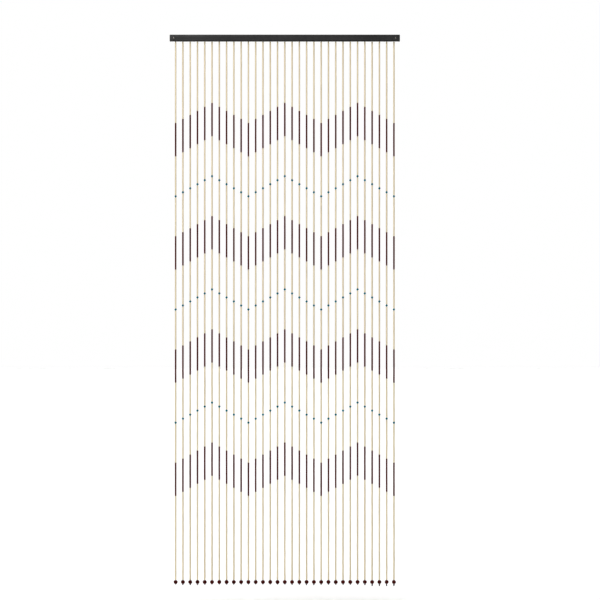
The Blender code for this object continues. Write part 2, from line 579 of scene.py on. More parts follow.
class Effects:
    """The surface effects that several finishes share, each a node group built once."""

    def __init__(self) -> None:
        """Build the groups."""
        self.lengthwise_grain = self.group(
            "lengthwise_grain",
            {"Vector": "Vector", "Scale": "Vector"},
            {"Streaks": "Float", "Height": "Float"},
            self.wire_grain,
        )
        self.slow_drift = self.group(
            "slow_drift",
            {"Vector": "Vector", "Fineness": "Float"},
            {"Drift": "Float"},
            self.wire_drift,
        )
        self.handled_gloss = self.group(
            "handled_gloss",
            {"Vector": "Vector", "Fineness": "Float", "Low": "Float", "High": "Float"},
            {"Roughness": "Float"},
            self.wire_gloss,
        )
        self.end_band = self.group(
            "end_band",
            {"Vector": "Vector", "Distance": "Float", "Width": "Float"},
            {"Mask": "Float"},
            self.wire_band,
        )
        self.brushed_film = self.group(
            "brushed_film",
            {"Vector": "Vector", "Fineness": "Float"},
            {"Height": "Float"},
            self.wire_film,
        )
        self.dust_and_top_sheen = self.group(
            "dust_and_top_sheen",
            {"Vector": "Vector", "Normal": "Vector", "Fineness": "Float"},
            {"Mask": "Float"},
            self.wire_dust_and_top_sheen,
        )

    @staticmethod
    def group(
        name: str,
        inputs: dict[str, str],
        outputs: dict[str, str],
        wire: Callable[[NodeSheet, bpy.types.Node, bpy.types.Node], None],
    ) -> bpy.types.NodeTree:
        """Make a node group with its sockets and let a function fill it.

        Args:
            name: The group's name.
            inputs: The type of each input.
            outputs: The type of each output.
            wire: Fills the group between its input node and its output node.

        Returns:
            The group.
        """
        tree = bpy.data.node_groups.new(name, "ShaderNodeTree")
        for in_out, sockets in (("INPUT", inputs), ("OUTPUT", outputs)):
            for socket, kind in sockets.items():
                tree.interface.new_socket(
                    name=socket, in_out=in_out, socket_type=f"NodeSocket{kind}"
                )
        sheet = NodeSheet(tree)
        given = sheet.add("NodeGroupInput")
        result = tree.nodes.new("NodeGroupOutput")
        wire(sheet, given, result)
        result.location = (sheet.column * sheet.COLUMN_WIDTH, 0)
        return tree

    @staticmethod
    def wire_grain(sheet: NodeSheet, given: bpy.types.Node, result: bpy.types.Node) -> None:
        """Wood grain: broad streaks with fine fibres in them."""
        place = sheet.vector("MULTIPLY", given.outputs["Vector"], given.outputs["Scale"])
        broad = sheet.noise(place, scale=1.0, detail=3.0, roughness=0.6)
        fibres = sheet.noise(place, scale=4.3, detail=2.0, roughness=0.7)
        streaks = sheet.spread(broad, low=0.34, high=0.66)
        fine = sheet.spread(fibres, low=0.3, high=0.7)
        both = sheet.math("MULTIPLY", sheet.math("ADD", streaks, fine), 0.5)
        sheet.feed(result.inputs["Streaks"], both)
        sheet.feed(result.inputs["Height"], fine)

    @staticmethod
    def wire_drift(sheet: NodeSheet, given: bpy.types.Node, result: bpy.types.Node) -> None:
        """A slow change of tone over a piece."""
        cloud = sheet.noise(given.outputs["Vector"], given.outputs["Fineness"], detail=1.0)
        sheet.feed(result.inputs["Drift"], sheet.spread(cloud, low=0.3, high=0.7))

    @staticmethod
    def wire_gloss(sheet: NodeSheet, given: bpy.types.Node, result: bpy.types.Node) -> None:
        """Roughness between two values, with duller patches where hands have been."""
        patches = sheet.noise(given.outputs["Vector"], given.outputs["Fineness"], detail=4.0)
        span = (given.outputs["Low"], given.outputs["High"])
        gloss = sheet.spread(patches, low=0.32, high=0.68, to=span)
        sheet.feed(result.inputs["Roughness"], gloss)

    @staticmethod
    def wire_band(sheet: NodeSheet, given: bpy.types.Node, result: bpy.types.Node) -> None:
        """A mask along a piece's ends, where the finish pools, with an uneven rim."""
        ripple = sheet.noise(given.outputs["Vector"], scale=700.0)
        reach = sheet.math("MULTIPLY", given.outputs["Width"], sheet.math("ADD", ripple, 0.5))
        inside = sheet.spread(given.outputs["Distance"], 0.0, reach, to=(1.0, 0.0))
        sheet.feed(result.inputs["Mask"], inside)

    @staticmethod
    def wire_film(sheet: NodeSheet, given: bpy.types.Node, result: bpy.types.Node) -> None:
        """The soft unevenness of a brushed or dipped film of paint or lacquer."""
        swells = sheet.noise(given.outputs["Vector"], given.outputs["Fineness"], detail=1.0)
        fine = sheet.math("MULTIPLY", given.outputs["Fineness"], 3.7)
        specks = sheet.noise(given.outputs["Vector"], fine, detail=2.0)
        height = sheet.math("ADD", swells, sheet.math("MULTIPLY", specks, 0.35))
        sheet.feed(result.inputs["Height"], height)

    @staticmethod
    def wire_dust_and_top_sheen(sheet: NodeSheet, given: bpy.types.Node, result: bpy.types.Node) -> None:
        """A mask of what faces up, for fine dust that lies there and a painted highlight along
        top edges.
        """
        split = sheet.add("ShaderNodeSeparateXYZ")
        sheet.feed(split.inputs[0], given.outputs["Normal"])
        up = sheet.spread(split.outputs[2], low=0.35, high=0.95)
        cloud = sheet.noise(given.outputs["Vector"], given.outputs["Fineness"], detail=5.0)
        patches = sheet.spread(cloud, low=0.25, high=0.8)
        sheet.feed(result.inputs["Mask"], sheet.math("MULTIPLY", up, patches))


EFFECTS = Effects()


# Finishes


@dataclass(frozen=True, kw_only=True)
class Finish(ABC):
    """What a piece is made of: a material that is built when it is first needed."""

    name: str
    slot: Slot

    def material(self) -> bpy.types.Material:
        """Give the finish's material.

        Returns:
            The material, the same one each time.
        """
        return bpy.data.materials.get(self.name) or self.build()

    @abstractmethod
    def build(self) -> bpy.types.Material:
        """Build the material."""


class MaterialSheet(NodeSheet):
    """The node tree of a new material, with its Principled shader and object coordinates."""

    def __init__(self, name: str, uniform: dict[str, float]) -> None:
        """Make the material.

        Args:
            name: Its name.
            uniform: Values of the shader's sockets that are the same all over the surface.
        """
        self.made = bpy.data.materials.new(name)
        self.made.use_nodes = True
        super().__init__(self.made.node_tree)
        self.shader = self.tree.nodes["Principled BSDF"]
        for socket, value in uniform.items():
            self.feed(self.shader.inputs[socket], value)
        self.spot = self.add("ShaderNodeTexCoord").outputs["Object"]

    def effect(
        self, group: bpy.types.NodeTree, output: str, **inputs: Source
    ) -> bpy.types.NodeSocket:
        """Place a shared effect in the piece's own coordinates.

        Args:
            group: The effect's node group.
            output: Which of its outputs is wanted.
            inputs: Its other inputs, by their names in lower case with underscores.

        Returns:
            The output's socket.
        """
        return self.place(group, vector=self.spot, **inputs).outputs[output]

    def gloss(self, fineness: float, span: tuple[float, float]) -> bpy.types.NodeSocket:
        """Vary the roughness in patches.

        Args:
            fineness: How small the patches are.
            span: The lowest and the highest roughness.

        Returns:
            The roughness's socket.
        """
        low, high = span
        return self.effect(
            EFFECTS.handled_gloss, "Roughness", fineness=fineness, low=low, high=high
        )

    def finish(self, **sources: Source) -> bpy.types.Material:
        """Feed the shader and line the nodes up.

        Args:
            sources: What feeds the shader's sockets, by their names in lower case
                with underscores.

        Returns:
            The material.
        """
        for name, source in sources.items():
            socket = name.replace("_", " ").title()
            self.feed(self.shader.inputs[socket], source)
        self.shader.location = (self.column * self.COLUMN_WIDTH, 0)
        output = self.tree.nodes["Material Output"]
        output.location = ((self.column + 2) * self.COLUMN_WIDTH, 0)
        return self.made


@dataclass(frozen=True, kw_only=True)
class TubeFinish(Finish):
    """A slim wooden tube with fine lengthwise grain under a thin varnish."""

    pale: Triple
    deep: Triple
    pooled: Triple
    cut_end: Triple
    gloss: tuple[float, float]
    varnish: float
    specular: float
    refraction: float = 1.5
    varnish_roughness: float = 0.22
    pooled_width: float = 0.0016
    grain_scale: Triple = (950.0, 950.0, 22.0)
    grain_strength: float = 0.5
    grain_depth: float = 0.00005
    drift_fineness: float = 9.0
    drift_share: float = 0.35
    gloss_fineness: float = 160.0

    def build(self) -> bpy.types.Material:
        """Build the varnished wood.

        Returns:
            The material.
        """
        uniform = {
            "Specular IOR Level": self.specular,
            "Coat Roughness": self.varnish_roughness,
            "IOR": self.refraction,
        }
        sheet = MaterialSheet(self.name, uniform)
        grain = sheet.place(EFFECTS.lengthwise_grain, vector=sheet.spot, scale=self.grain_scale)
        drift = sheet.effect(EFFECTS.slow_drift, "Drift", fineness=self.drift_fineness)
        tone = sheet.math("ADD", sheet.mark(Mark.TONE), drift)
        tinted = sheet.math("MULTIPLY", tone, self.drift_share)
        depth = sheet.math("ADD", tinted, grain.outputs["Streaks"])
        wood = sheet.mix(sheet.math("MULTIPLY", depth, 0.5), self.pale, self.deep)
        from_end = sheet.mark(Mark.FROM_END)
        band = sheet.effect(
            EFFECTS.end_band, "Mask", distance=from_end, width=self.pooled_width
        )
        cut = sheet.mark(Mark.CUT)
        whole = sheet.math("SUBTRACT", 1.0, cut)
        return sheet.finish(
            base_color=sheet.mix(cut, sheet.mix(band, wood, self.pooled), self.cut_end),
            roughness=sheet.gloss(self.gloss_fineness, self.gloss),
            coat_weight=sheet.math("MULTIPLY", whole, self.varnish),
            normal=sheet.bump(grain.outputs["Height"], self.grain_strength, self.grain_depth),
        )


@dataclass(frozen=True, kw_only=True)
class LacquerFinish(Finish):
    """A turned wooden bead dipped in coloured lacquer, thinner at the rims of its bore."""

    colour: Triple
    lit: Triple
    rim: Triple
    gloss: tuple[float, float]
    coat: float
    specular: float
    rim_width: float
    film_fineness: float
    film_strength: float = 0.35
    film_depth: float = 0.0001
    refraction: float = 1.5
    coat_roughness: float = 0.12
    turning_scale: Triple = (120.0, 120.0, 1500.0)
    turning_share: float = 0.5
    drift_fineness: float = 60.0
    lit_share: float = 0.4
    gloss_fineness: float = 420.0
    rim_wear: float = 0.8

    def build(self) -> bpy.types.Material:
        """Build the lacquer.

        Returns:
            The material.
        """
        uniform = {
            "Specular IOR Level": self.specular,
            "Coat Roughness": self.coat_roughness,
            "IOR": self.refraction,
        }
        sheet = MaterialSheet(self.name, uniform)
        rings = sheet.effect(EFFECTS.lengthwise_grain, "Streaks", scale=self.turning_scale)
        drift = sheet.effect(EFFECTS.slow_drift, "Drift", fineness=self.drift_fineness)
        tone = sheet.math("ADD", sheet.mark(Mark.TONE), drift)
        depth = sheet.math("ADD", tone, sheet.math("MULTIPLY", rings, self.turning_share))
        colour = sheet.mix(sheet.math("MULTIPLY", depth, self.lit_share), self.colour, self.lit)
        from_rim = sheet.mark(Mark.FROM_END)
        band = sheet.effect(EFFECTS.end_band, "Mask", distance=from_rim, width=self.rim_width)
        left = sheet.math("ADD", sheet.math("MULTIPLY", band, -self.rim_wear), 1.0)
        film = sheet.effect(EFFECTS.brushed_film, "Height", fineness=self.film_fineness)
        return sheet.finish(
            base_color=sheet.mix(band, colour, self.rim),
            roughness=sheet.gloss(self.gloss_fineness, self.gloss),
            coat_weight=sheet.math("MULTIPLY", left, self.coat),
            normal=sheet.bump(film, self.film_strength, self.film_depth),
        )


@dataclass(frozen=True, kw_only=True)
class RailPaintFinish(Finish):
    """Charcoal paint brushed on a planed batten, thin on its edges and soaked into its ends, with
    painted shade along its lower edge.
    """

    half_size: Triple
    centre: Triple
    name: str = "charcoal_brushed_paint"
    slot: Slot = Slot.RAIL_PAINT
    paint: Triple = (0.047, 0.0467, 0.0473)
    pale_paint: Triple = (0.075, 0.0745, 0.0752)
    worn: Triple = (0.21, 0.175, 0.14)
    end_paint: Triple = (0.048, 0.047, 0.047)
    # The darker colour of the painted shade along the lower edge
    shaded_edge_paint: Triple = (0.018, 0.0176, 0.0176)
    # Light dust, which also serves as a painted highlight on what faces up
    dust_and_sheen: Triple = (0.285, 0.28, 0.27)
    specular: float = 0.42
    refraction: float = 1.46
    gloss: tuple[float, float] = (0.32, 0.46)
    gloss_fineness: float = 45.0
    grain_scale: Triple = (5.0, 330.0, 330.0)
    drift_fineness: float = 7.0
    film_fineness: float = 160.0
    relief_strength: float = 0.4
    relief_depth: float = 0.00009
    wear_width: float = 0.0007
    wear_fineness: float = 90.0
    lower_shade_width: float = 0.0042
    lower_shade_core: float = 0.4
    lower_shade_fineness: float = 38.0
    soak_start: float = 0.0002
    soak_depth: float = 0.0012
    dust_and_sheen_fineness: float = 70.0
    dust_and_sheen_share: float = 0.35

    def build(self) -> bpy.types.Material:
        """Build the painted wood.

        Returns:
            The material.
        """
        uniform = {"Specular IOR Level": self.specular, "IOR": self.refraction}
        sheet = MaterialSheet(self.name, uniform)
        grain = sheet.place(EFFECTS.lengthwise_grain, vector=sheet.spot, scale=self.grain_scale)
        drift = sheet.effect(EFFECTS.slow_drift, "Drift", fineness=self.drift_fineness)
        depth = sheet.math("ADD", grain.outputs["Streaks"], drift)
        brushed = sheet.mix(sheet.math("MULTIPLY", depth, 0.5), self.paint, self.pale_paint)
        edge, end = self.edge_masks(sheet)
        soaked = sheet.mix(end, brushed, self.end_paint)
        # Painted shade: the lower edge is darkened with a darker paint colour
        painted = sheet.mix(self.lower_shade_mask(sheet), soaked, self.shaded_edge_paint)
        cloud = sheet.noise(sheet.spot, self.wear_fineness, detail=4.0)
        patches = sheet.spread(cloud, low=0.48, high=0.72)
        rubbed = sheet.mix(sheet.math("MULTIPLY", edge, patches), painted, self.worn)
        # What faces up gets light dust, which also paints a highlight on the batten's top edge
        facing = sheet.add("ShaderNodeNewGeometry").outputs["Normal"]
        dust_and_sheen_mask = sheet.effect(
            EFFECTS.dust_and_top_sheen, "Mask", normal=facing, fineness=self.dust_and_sheen_fineness
        )
        dust_and_sheen_amount = sheet.math("MULTIPLY", dust_and_sheen_mask, self.dust_and_sheen_share)
        film = sheet.effect(EFFECTS.brushed_film, "Height", fineness=self.film_fineness)
        relief = sheet.math("ADD", film, grain.outputs["Height"])
        gloss = sheet.gloss(self.gloss_fineness, self.gloss)
        return sheet.finish(
            base_color=sheet.mix(dust_and_sheen_amount, rubbed, self.dust_and_sheen),
            roughness=sheet.math("ADD", gloss, dust_and_sheen_amount),
            normal=sheet.bump(relief, self.relief_strength, self.relief_depth),
        )

    def lower_shade_mask(self, sheet: MaterialSheet) -> bpy.types.NodeSocket:
        """Find the band along the lower edge that is darkened as painted shade.

        Args:
            sheet: The material's sheet.

        Returns:
            The mask.
        """
        height = sheet.add("ShaderNodeSeparateXYZ")
        sheet.feed(height.inputs[0], sheet.spot)
        above = sheet.math("SUBTRACT", height.outputs[2], self.centre[2] - self.half_size[2])
        ripple = sheet.noise(sheet.spot, self.lower_shade_fineness)
        wavy = sheet.math("MULTIPLY", ripple, self.lower_shade_width)
        reach = sheet.math("ADD", wavy, self.lower_shade_width / 2)
        core = sheet.math("MULTIPLY", reach, self.lower_shade_core)
        return sheet.spread(above, core, reach, to=(1.0, 0.0))

    def edge_masks(
        self, sheet: MaterialSheet
    ) -> tuple[bpy.types.NodeSocket, bpy.types.NodeSocket]:
        """Find the batten's long edges and its sawn ends from its half sizes.

        Args:
            sheet: The material's sheet.

        Returns:
            Masks of the edges and of the ends.
        """
        from_centre = sheet.vector("SUBTRACT", sheet.spot, self.centre)
        across = sheet.vector("ABSOLUTE", from_centre, (0.0, 0.0, 0.0))
        left = sheet.add("ShaderNodeSeparateXYZ")
        sheet.feed(left.inputs[0], sheet.vector("SUBTRACT", self.half_size, across))
        near_end, near_face, near_top = left.outputs
        # On a box's surface the smallest distance is 0, so the middle one is that to an edge
        nearer = sheet.math("MINIMUM", near_end, near_face)
        further = sheet.math("MAXIMUM", near_end, near_face)
        middle = sheet.math("MAXIMUM", nearer, sheet.math("MINIMUM", further, near_top))
        edge = sheet.spread(middle, 0.0, self.wear_width, to=(1.0, 0.0))
        end = sheet.spread(near_end, self.soak_start, self.soak_depth, to=(1.0, 0.0))
        return edge, end


@dataclass(frozen=True, kw_only=True)
class CordFinish(Finish):
    """Dark waxed cord of two plies, with fine fibres."""

    name: str = "waxed_cord"
    slot: Slot = Slot.CORD
    fibre: Triple = (0.028, 0.016, 0.0135)
    pale_fibre: Triple = (0.058, 0.038, 0.032)
    frayed: Triple = (0.105, 0.08, 0.068)
    refraction: float = 1.45
    sheen: float = 0.25
    sheen_roughness: float = 0.45
    gloss: tuple[float, float] = (0.55, 0.82)
    gloss_fineness: float = 900.0
    fibre_scale: Triple = (5200.0, 5200.0, 1400.0)
    fibre_strength: float = 0.6
    fibre_depth: float = 0.0001

    def build(self) -> bpy.types.Material:
        """Build the cord.

        Returns:
            The material.
        """
        uniform = {
            "Sheen Weight": self.sheen,
            "Sheen Roughness": self.sheen_roughness,
            "IOR": self.refraction,
        }
        sheet = MaterialSheet(self.name, uniform)
        fibres = sheet.place(EFFECTS.lengthwise_grain, vector=sheet.spot, scale=self.fibre_scale)
        colour = sheet.mix(fibres.outputs["Streaks"], self.fibre, self.pale_fibre)
        return sheet.finish(
            base_color=sheet.mix(sheet.mark(Mark.CUT), colour, self.frayed),
            roughness=sheet.gloss(self.gloss_fineness, self.gloss),
            normal=sheet.bump(fibres.outputs["Height"], self.fibre_strength, self.fibre_depth),
        )


@dataclass(frozen=True, kw_only=True)
class ScrewFinish(Finish):
    """Zinc-plated steel, with fine marks of the driver, darker in its recess and under its rim.
    """

    name: str = "plated_screw"
    slot: Slot = Slot.SCREW_STEEL
    plate: Triple = (0.295, 0.283, 0.27)
    dull_plate: Triple = (0.195, 0.185, 0.175)
    recess_dark: Triple = (0.07, 0.063, 0.057)
    drift_fineness: float = 420.0
    recess_dark_width: float = 0.0006
    recess_dark_share: float = 0.85
    gloss: tuple[float, float] = (0.24, 0.46)
    gloss_fineness: float = 1100.0
    mark_fineness: float = 1500.0
    mark_strength: float = 0.3
    mark_depth: float = 0.00004

    def build(self) -> bpy.types.Material:
        """Build the plated steel.

        Returns:
            The material.
        """
        sheet = MaterialSheet(self.name, {"Metallic": 1.0})
        drift = sheet.effect(EFFECTS.slow_drift, "Drift", fineness=self.drift_fineness)
        plated = sheet.mix(drift, self.plate, self.dull_plate)
        from_recess = sheet.mark(Mark.FROM_END)
        # The plating is darker in the recess and under the rim
        band = sheet.effect(
            EFFECTS.end_band, "Mask", distance=from_recess, width=self.recess_dark_width
        )
        marks = sheet.effect(EFFECTS.brushed_film, "Height", fineness=self.mark_fineness)
        return sheet.finish(
            base_color=sheet.mix(
                sheet.math("MULTIPLY", band, self.recess_dark_share), plated, self.recess_dark
            ),
            roughness=sheet.gloss(self.gloss_fineness, self.gloss),
            normal=sheet.bump(marks, self.mark_strength, self.mark_depth),
        )


@dataclass(frozen=True)
class FloorFinish:
    """The plain pale floor."""

    name: str = "pale_floor"
    shade: float = 0.9
    cloud_depth: float = 0.01
    cloud_fineness: float = 0.7
    roughness: float = 0.9
    specular: float = 0.2

    def material(self) -> bpy.types.Material:
        """Build the floor's matt surface.

        Returns:
            The material.
        """
        uniform = {"Roughness": self.roughness, "Specular IOR Level": self.specular}
        sheet = MaterialSheet(self.name, uniform)
        cloud = sheet.noise(sheet.spot, self.cloud_fineness)
        darker = self.shade - self.cloud_depth
        return sheet.finish(base_color=sheet.mix(cloud, (self.shade,) * 3, (darker,) * 3))


NATURAL_TUBE = TubeFinish(
    name="natural_varnished_tube",
    slot=Slot.NATURAL_TUBE,
    pale=(0.75, 0.672, 0.515),
    deep=(0.625, 0.533, 0.37),
    pooled=(0.45, 0.34, 0.205),
    cut_end=(0.565, 0.49, 0.33),
    gloss=(0.38, 0.55),
    varnish=0.2,
    specular=0.4,
)
DARK_TUBE = TubeFinish(
    name="stained_varnished_tube",
    slot=Slot.DARK_TUBE,
    pale=(0.118, 0.019, 0.0115),
    deep=(0.066, 0.008, 0.0048),
    pooled=(0.042, 0.005, 0.0035),
    cut_end=(0.095, 0.027, 0.018),
    gloss=(0.36, 0.5),
    varnish=0.03,
    specular=0.08,
)
TEAL_LACQUER = LacquerFinish(
    name="teal_lacquer",
    slot=Slot.SMALL_BEAD,
    colour=(0.003, 0.138, 0.172),
    lit=(0.007, 0.2, 0.235),
    rim=(0.03, 0.12, 0.13),
    gloss=(0.2, 0.38),
    coat=0.1,
    specular=0.12,
    rim_width=0.0006,
    film_fineness=700.0,
)
RED_LACQUER = LacquerFinish(
    name="red_brown_lacquer",
    slot=Slot.END_BEAD,
    colour=(0.066, 0.0048, 0.0034),
    lit=(0.115, 0.0105, 0.007),
    rim=(0.045, 0.011, 0.008),
    gloss=(0.18, 0.32),
    coat=0.14,
    specular=0.1,
    rim_width=0.0011,
    film_fineness=380.0,
)


# The strands' layout


class Span(NamedTuple):
    """A stretch of a strand, from its top to its bottom."""

    top: float
    bottom: float


class KnotGroup(NamedTuple):
    """Strands first to last, whose knots and tails show by one length below the end bead."""

    first: int
    last: int
    length: float


@dataclass(frozen=True)
class Zigzag:
    """How the dark tubes and the small beads step from strand to strand."""

    slope_strands: int = 5
    step: float = 0.01573
    row_pitch: float = 0.4431
    dark_rows: int = 4
    first_dark_top: float = 0.2413
    dark_length: float = 0.1292
    bead_rows: int = 3
    first_bead: float = 0.5277

    def drop(self, number: int) -> float:
        """Give how far the pattern hangs on a strand below the zigzag's peaks.

        Args:
            number: The strand, counted from 1 at the left.

        Returns:
            The drop.
        """
        place = (number - 1) % (2 * self.slope_strands)
        return self.step * abs(place - self.slope_strands)


@dataclass(frozen=True)
class Strand:
    """One cord and the spans of what is threaded on it."""

    number: int
    x: float
    y: float
    root: float
    naturals: tuple[Span, ...]
    darks: tuple[Span, ...]
    small_beads: tuple[float, ...]
    end_bead: float
    knot_length: float


@dataclass
class StrandLayout:
    """Works out every strand from the frame and the zigzag."""

    zigzag: Zigzag = field(default_factory=Zigzag)
    tube_start: float = 0.0015
    joint: float = 0.0002
    small_bead_half: float = 0.004
    bead_clearance: float = 0.0003
    end_bead_gap: float = 0.001
    bore_radius: float = 0.0016
    root_depth: float = 0.002
    knot_groups: tuple[KnotGroup, ...] = (
        KnotGroup(first=1, last=1, length=0.0016),
        KnotGroup(first=2, last=4, length=0.0042),
        KnotGroup(first=5, last=5, length=0.0027),
        KnotGroup(first=6, last=7, length=0.0016),
        KnotGroup(first=8, last=9, length=0.0024),
        KnotGroup(first=10, last=16, length=0.0016),
        KnotGroup(first=17, last=18, length=0.0027),
        KnotGroup(first=19, last=20, length=0.0042),
        KnotGroup(first=21, last=26, length=0.0027),
        KnotGroup(first=27, last=27, length=0.0042),
        KnotGroup(first=28, last=31, length=0.0080),
    )

    def bead_nodes(self) -> list[str]:
        """List the end beads' nodes from left to right."""
        return sorted(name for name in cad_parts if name.startswith("end_bead_"))

    def strands(self) -> list[Strand]:
        """Lay out all the strands.

        Returns:
            The strands from left to right.
        """
        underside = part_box("rail")[0].z
        laid = []
        for number, node in enumerate(self.bead_nodes(), start=1):
            lowest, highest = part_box(node)
            size = highest - lowest
            bead = (lowest + highest) / 2
            laid.append(self.strand(number, bead, max(size.x, size.y) / 2, underside))
        return laid

    def strand(
        self, number: int, bead: Vector, bead_radius: float, underside: float
    ) -> Strand:
        """Lay out one strand.

        Args:
            number: The strand's number.
            bead: The centre of its end bead.
            bead_radius: The end bead's radius.
            underside: The height of the rail's underside.

        Returns:
            The strand.
        """
        zigzag = self.zigzag
        pattern_top = underside - zigzag.drop(number)
        darks = []
        for row in range(zigzag.dark_rows):
            top = pattern_top - zigzag.first_dark_top - row * zigzag.row_pitch
            darks.append(Span(top, top - zigzag.dark_length))
        beads = [
            pattern_top - zigzag.first_bead - row * zigzag.row_pitch
            for row in range(zigzag.bead_rows)
        ]
        cuff = self.small_bead_half + self.bead_clearance
        naturals = [Span(underside - self.tube_start, darks[0].top)]
        for row, bead_height in enumerate(beads):
            naturals.append(Span(darks[row].bottom, bead_height + cuff))
            naturals.append(Span(bead_height - cuff, darks[row + 1].top))
        mouth = math.sqrt(bead_radius**2 - self.bore_radius**2)
        naturals.append(Span(darks[-1].bottom, bead.z + mouth + self.end_bead_gap))
        return Strand(
            number=number,
            x=bead.x,
            y=bead.y,
            root=underside + self.root_depth,
            naturals=tuple(self.parted(span) for span in naturals),
            darks=tuple(self.parted(span) for span in darks),
            small_beads=tuple(beads),
            end_bead=bead.z,
            knot_length=self.knot_length(number),
        )

    def parted(self, span: Span) -> Span:
        """Shorten a tube by half a joint at each end.

        Args:
            span: The tube with its joints.

        Returns:
            The tube alone.
        """
        return Span(span.top - self.joint / 2, span.bottom + self.joint / 2)

    def knot_length(self, number: int) -> float:
        """Look up how far a strand's knot and tail show below its end bead.

        Args:
            number: The strand's number.

        Returns:
            The length.
        """
        return next(g.length for g in self.knot_groups if g.first <= number <= g.last)


# Threaded pieces


@dataclass
class TubeSet:
    """All the tubes of one kind, modelled once and copied on to the cords."""

    name: str
    finish: TubeFinish
    seed: int
    radius: float = 0.0028
    bore: float = 0.0011
    sides: int = 12
    chamfer: float = 0.00028
    model_length: float = 0.05
    width_play: float = 0.018
    bow: float = 0.00016

    def model(self) -> Pattern:
        """Model the tube: a cylinder with a ring at mid length, broken rims and a bore.

        Returns:
            The pattern.
        """
        end = self.model_length / 2
        flat = math.cos(math.pi / self.sides)
        tube = cylinder(f"{self.name}_model", self.sides, self.radius, self.model_length)
        with EditMode(tube) as edit:
            edit.pick_all()
            bpy.ops.mesh.bisect(plane_co=(0.0, 0.0, 0.0), plane_no=(0.0, 0.0, 1.0))
            edit.pick_edges(lambda a, b: abs(a.z - b.z) < MERGE_DISTANCE and abs(a.z) > end / 2)
            bpy.ops.mesh.bevel(offset=self.chamfer, segments=1, affect="EDGES")
            edit.pick_faces(lambda centre, normal: abs(normal.z) > FACING)
            rim = (self.radius - self.chamfer - self.bore) * flat
            bpy.ops.mesh.inset(thickness=rim, use_even_offset=True)
            bpy.ops.mesh.bridge_edge_loops()
        face_outwards(tube)
        return Pattern(tube)

    def build(self, strands: Sequence[Strand], spans: Callable[[Strand], Sequence[Span]]) -> None:
        """Thread the tubes on all the cords and install them.

        Args:
            strands: The strands.
            spans: Gives a strand's tubes of this kind.
        """
        pattern = self.model()
        piece = JoinedPiece(self.name)
        draw = random.Random(self.seed)
        for strand in strands:
            for span in spans(strand):
                self.thread(piece, pattern, strand, span, draw)
        install(piece.build(), self.finish, "strands")

    def thread(
        self,
        piece: JoinedPiece,
        pattern: Pattern,
        strand: Strand,
        span: Span,
        draw: random.Random,
    ) -> None:
        """Copy the tube to one span, each copy a little uneven, its ends not stretched.

        Args:
            piece: The piece that takes the copy.
            pattern: The modelled tube.
            strand: The strand it is threaded on.
            span: Its stretch.
            draw: The seeded source of unevenness.
        """
        points = pattern.points.copy()
        height = points[:, 2]
        upper = height > self.model_length / 4
        lower = height < -self.model_length / 4
        waist = ~(upper | lower)
        radial = np.hypot(points[:, 0], points[:, 1])
        from_end = self.model_length / 2 - np.abs(height)
        middle = (span.top + span.bottom) / 2
        length = span.top - span.bottom
        for part in (upper, waist, lower):
            points[part, :2] *= 1 + draw.uniform(-self.width_play, self.width_play)
        angle = draw.uniform(0.0, math.tau)
        turn = np.array([[math.cos(angle), math.sin(angle)], [-math.sin(angle), math.cos(angle)]])
        points[:, :2] = points[:, :2] @ turn
        points[waist, 0] += draw.uniform(-self.bow, self.bow)
        points[waist, 1] += draw.uniform(-self.bow, self.bow)
        points[upper, 2] = span.top - from_end[upper]
        points[lower, 2] = span.bottom + from_end[lower]
        points[waist, 2] = middle
        points[:, 0] += strand.x
        points[:, 1] += strand.y
        # Cut wood shows in the bore and on the sawn ends, inside the broken rims
        inner = (radial < self.radius - 1.5 * self.chamfer) | (
            (radial < self.radius - 0.5 * self.chamfer) & (from_end < MERGE_DISTANCE)
        )
        piece.add(
            points,
            pattern.faces,
            tone=draw.uniform(-TONE_PLAY, TONE_PLAY),
            from_end=np.where(waist, length / 2, from_end),
            cut=inner.astype(float),
        )


@dataclass
class BeadShape:
    """A turned bead: a sphere with flattened, softly rimmed poles and a bore."""

    name: str
    radius: float
    bore: float
    segments: int
    rings: int
    lip: float

    def model(self) -> Pattern:
        """Model the bead from a sphere.

        Returns:
            The pattern.
        """
        bpy.ops.object.select_all(action="DESELECT")
        bpy.ops.mesh.primitive_uv_sphere_add(
            segments=self.segments, ring_count=self.rings, radius=self.radius
        )
        bead = newest(f"{self.name}_model")
        # The first ring from the pole that leaves room for the bore and its lips
        angle = math.pi / self.rings
        while self.radius * math.sin(angle) < self.bore + 2 * self.lip:
            angle += math.pi / self.rings
        last_ring = self.radius * math.cos(angle)
        ring_radius = self.radius * math.sin(angle)
        flat = math.cos(math.pi / self.segments)
        with EditMode(bead) as edit:
            for side in (1, -1):
                edit.pick_faces(lambda centre, normal: centre.z * side > last_ring)
                bpy.ops.mesh.dissolve_faces()
            edit.pick_faces(lambda centre, normal: abs(centre.z) > last_ring - MERGE_DISTANCE)
            mouth = math.sqrt(self.radius**2 - (self.bore + self.lip) ** 2)
            bpy.ops.mesh.inset(
                thickness=(ring_radius - self.bore - self.lip) * flat, depth=mouth - last_ring
            )
            bpy.ops.mesh.inset(thickness=self.lip * flat, depth=-self.lip / 2)
            bpy.ops.mesh.bridge_edge_loops()
        face_outwards(bead)
        return Pattern(bead)

    def place(
        self, pattern: Pattern, centre: Vector, draw: random.Random, play: float
    ) -> tuple[np.ndarray, np.ndarray]:
        """Place a copy, turned at random about its bore and a little uneven in size.

        Args:
            pattern: The modelled bead.
            centre: Where its centre goes.
            draw: The seeded source of unevenness.
            play: How much the size may differ, as a share.

        Returns:
            The copy's points, and their distances from the rim of the bore.
        """
        angle = draw.uniform(0.0, math.tau)
        scale = 1 + draw.uniform(-play, play)
        turned = Matrix.Rotation(angle, 3, "Z")
        points = pattern.points @ np.array(turned).T * scale + np.array(centre)
        radial = np.hypot(pattern.points[:, 0], pattern.points[:, 1])
        return points, np.maximum(radial - self.bore, 0.0)


